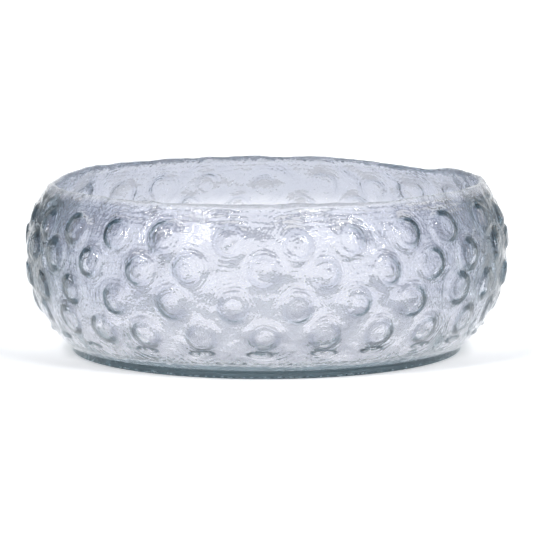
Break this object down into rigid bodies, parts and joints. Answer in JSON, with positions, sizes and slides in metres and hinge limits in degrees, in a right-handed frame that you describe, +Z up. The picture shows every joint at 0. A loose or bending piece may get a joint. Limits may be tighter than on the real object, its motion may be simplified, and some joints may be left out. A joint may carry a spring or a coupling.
{
  "type": "floating candle bowl",
  "caption": "Wide low bowl of clear glass with a set-in foot, a swelling wall covered in staggered rows of round bosses with dimples behind them, and a rounded lip, for floating candles in water.",
  "frame": {"origin": "centre of the foot, on the surface that the bowl stands on", "axes": "+Z up along the bowl's axis, -Y towards the front"},
  "size_m": [0.28, 0.2799, 0.098],
  "materials": {
    "clear_glass": "clear pressed glass with a faint cold blue-green tint, fire-polished"
  },
  "bodies": {
    "root": {"glass_bowl": "clear_glass"}
  },
  "joints": []
}
